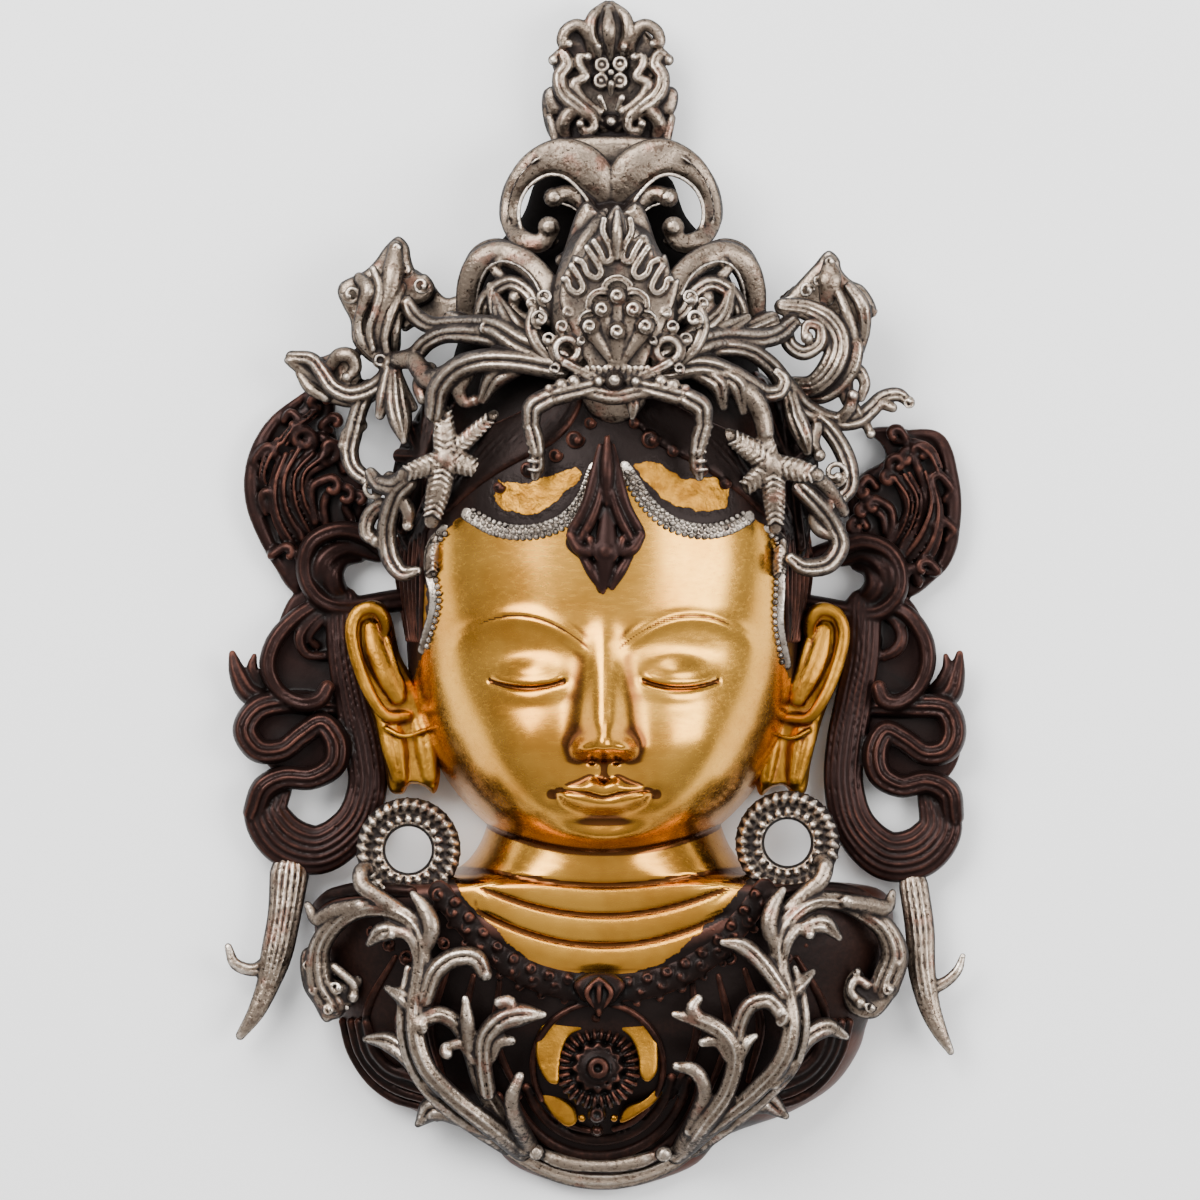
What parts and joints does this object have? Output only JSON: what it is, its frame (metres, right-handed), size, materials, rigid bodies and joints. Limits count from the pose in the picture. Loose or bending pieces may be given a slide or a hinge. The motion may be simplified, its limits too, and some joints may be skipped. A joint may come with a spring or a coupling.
{
  "type": "tara face mask",
  "caption": "Hollow cast brass Tara face mask with openwork crown, jewel plaque, flower sprays, side locks, ring earrings, vines and a bust-shaped base rim, lying on its back rim.",
  "frame": {"origin": "centre of the bounding box in plan, on the plane of the back rim that the mask lies on", "axes": "+Z out of the face, +Y towards the crown's tip, +X to the right of someone who looks at the face"},
  "size_m": [0.2529, 0.405, 0.087],
  "materials": {
    "dark_copper": "dark brown copper patina, rubbed to copper on the edges",
    "polished_gold": "polished golden brass with fine brush marks, on the face, neck and ears",
    "antique_silver": "silvered brass with dark antiqued recesses"
  },
  "bodies": {
    "root": {"mask_shell": "dark_copper", "crown": "antique_silver", "jewel_plaque": "antique_silver", "flower_spray_left": "antique_silver", "flower_spray_right": "antique_silver", "earring_left": "antique_silver", "earring_right": "antique_silver", "vine_left": "antique_silver", "vine_right": "antique_silver", "twig_left": "antique_silver", "twig_right": "antique_silver"}
  },
  "joints": []
}
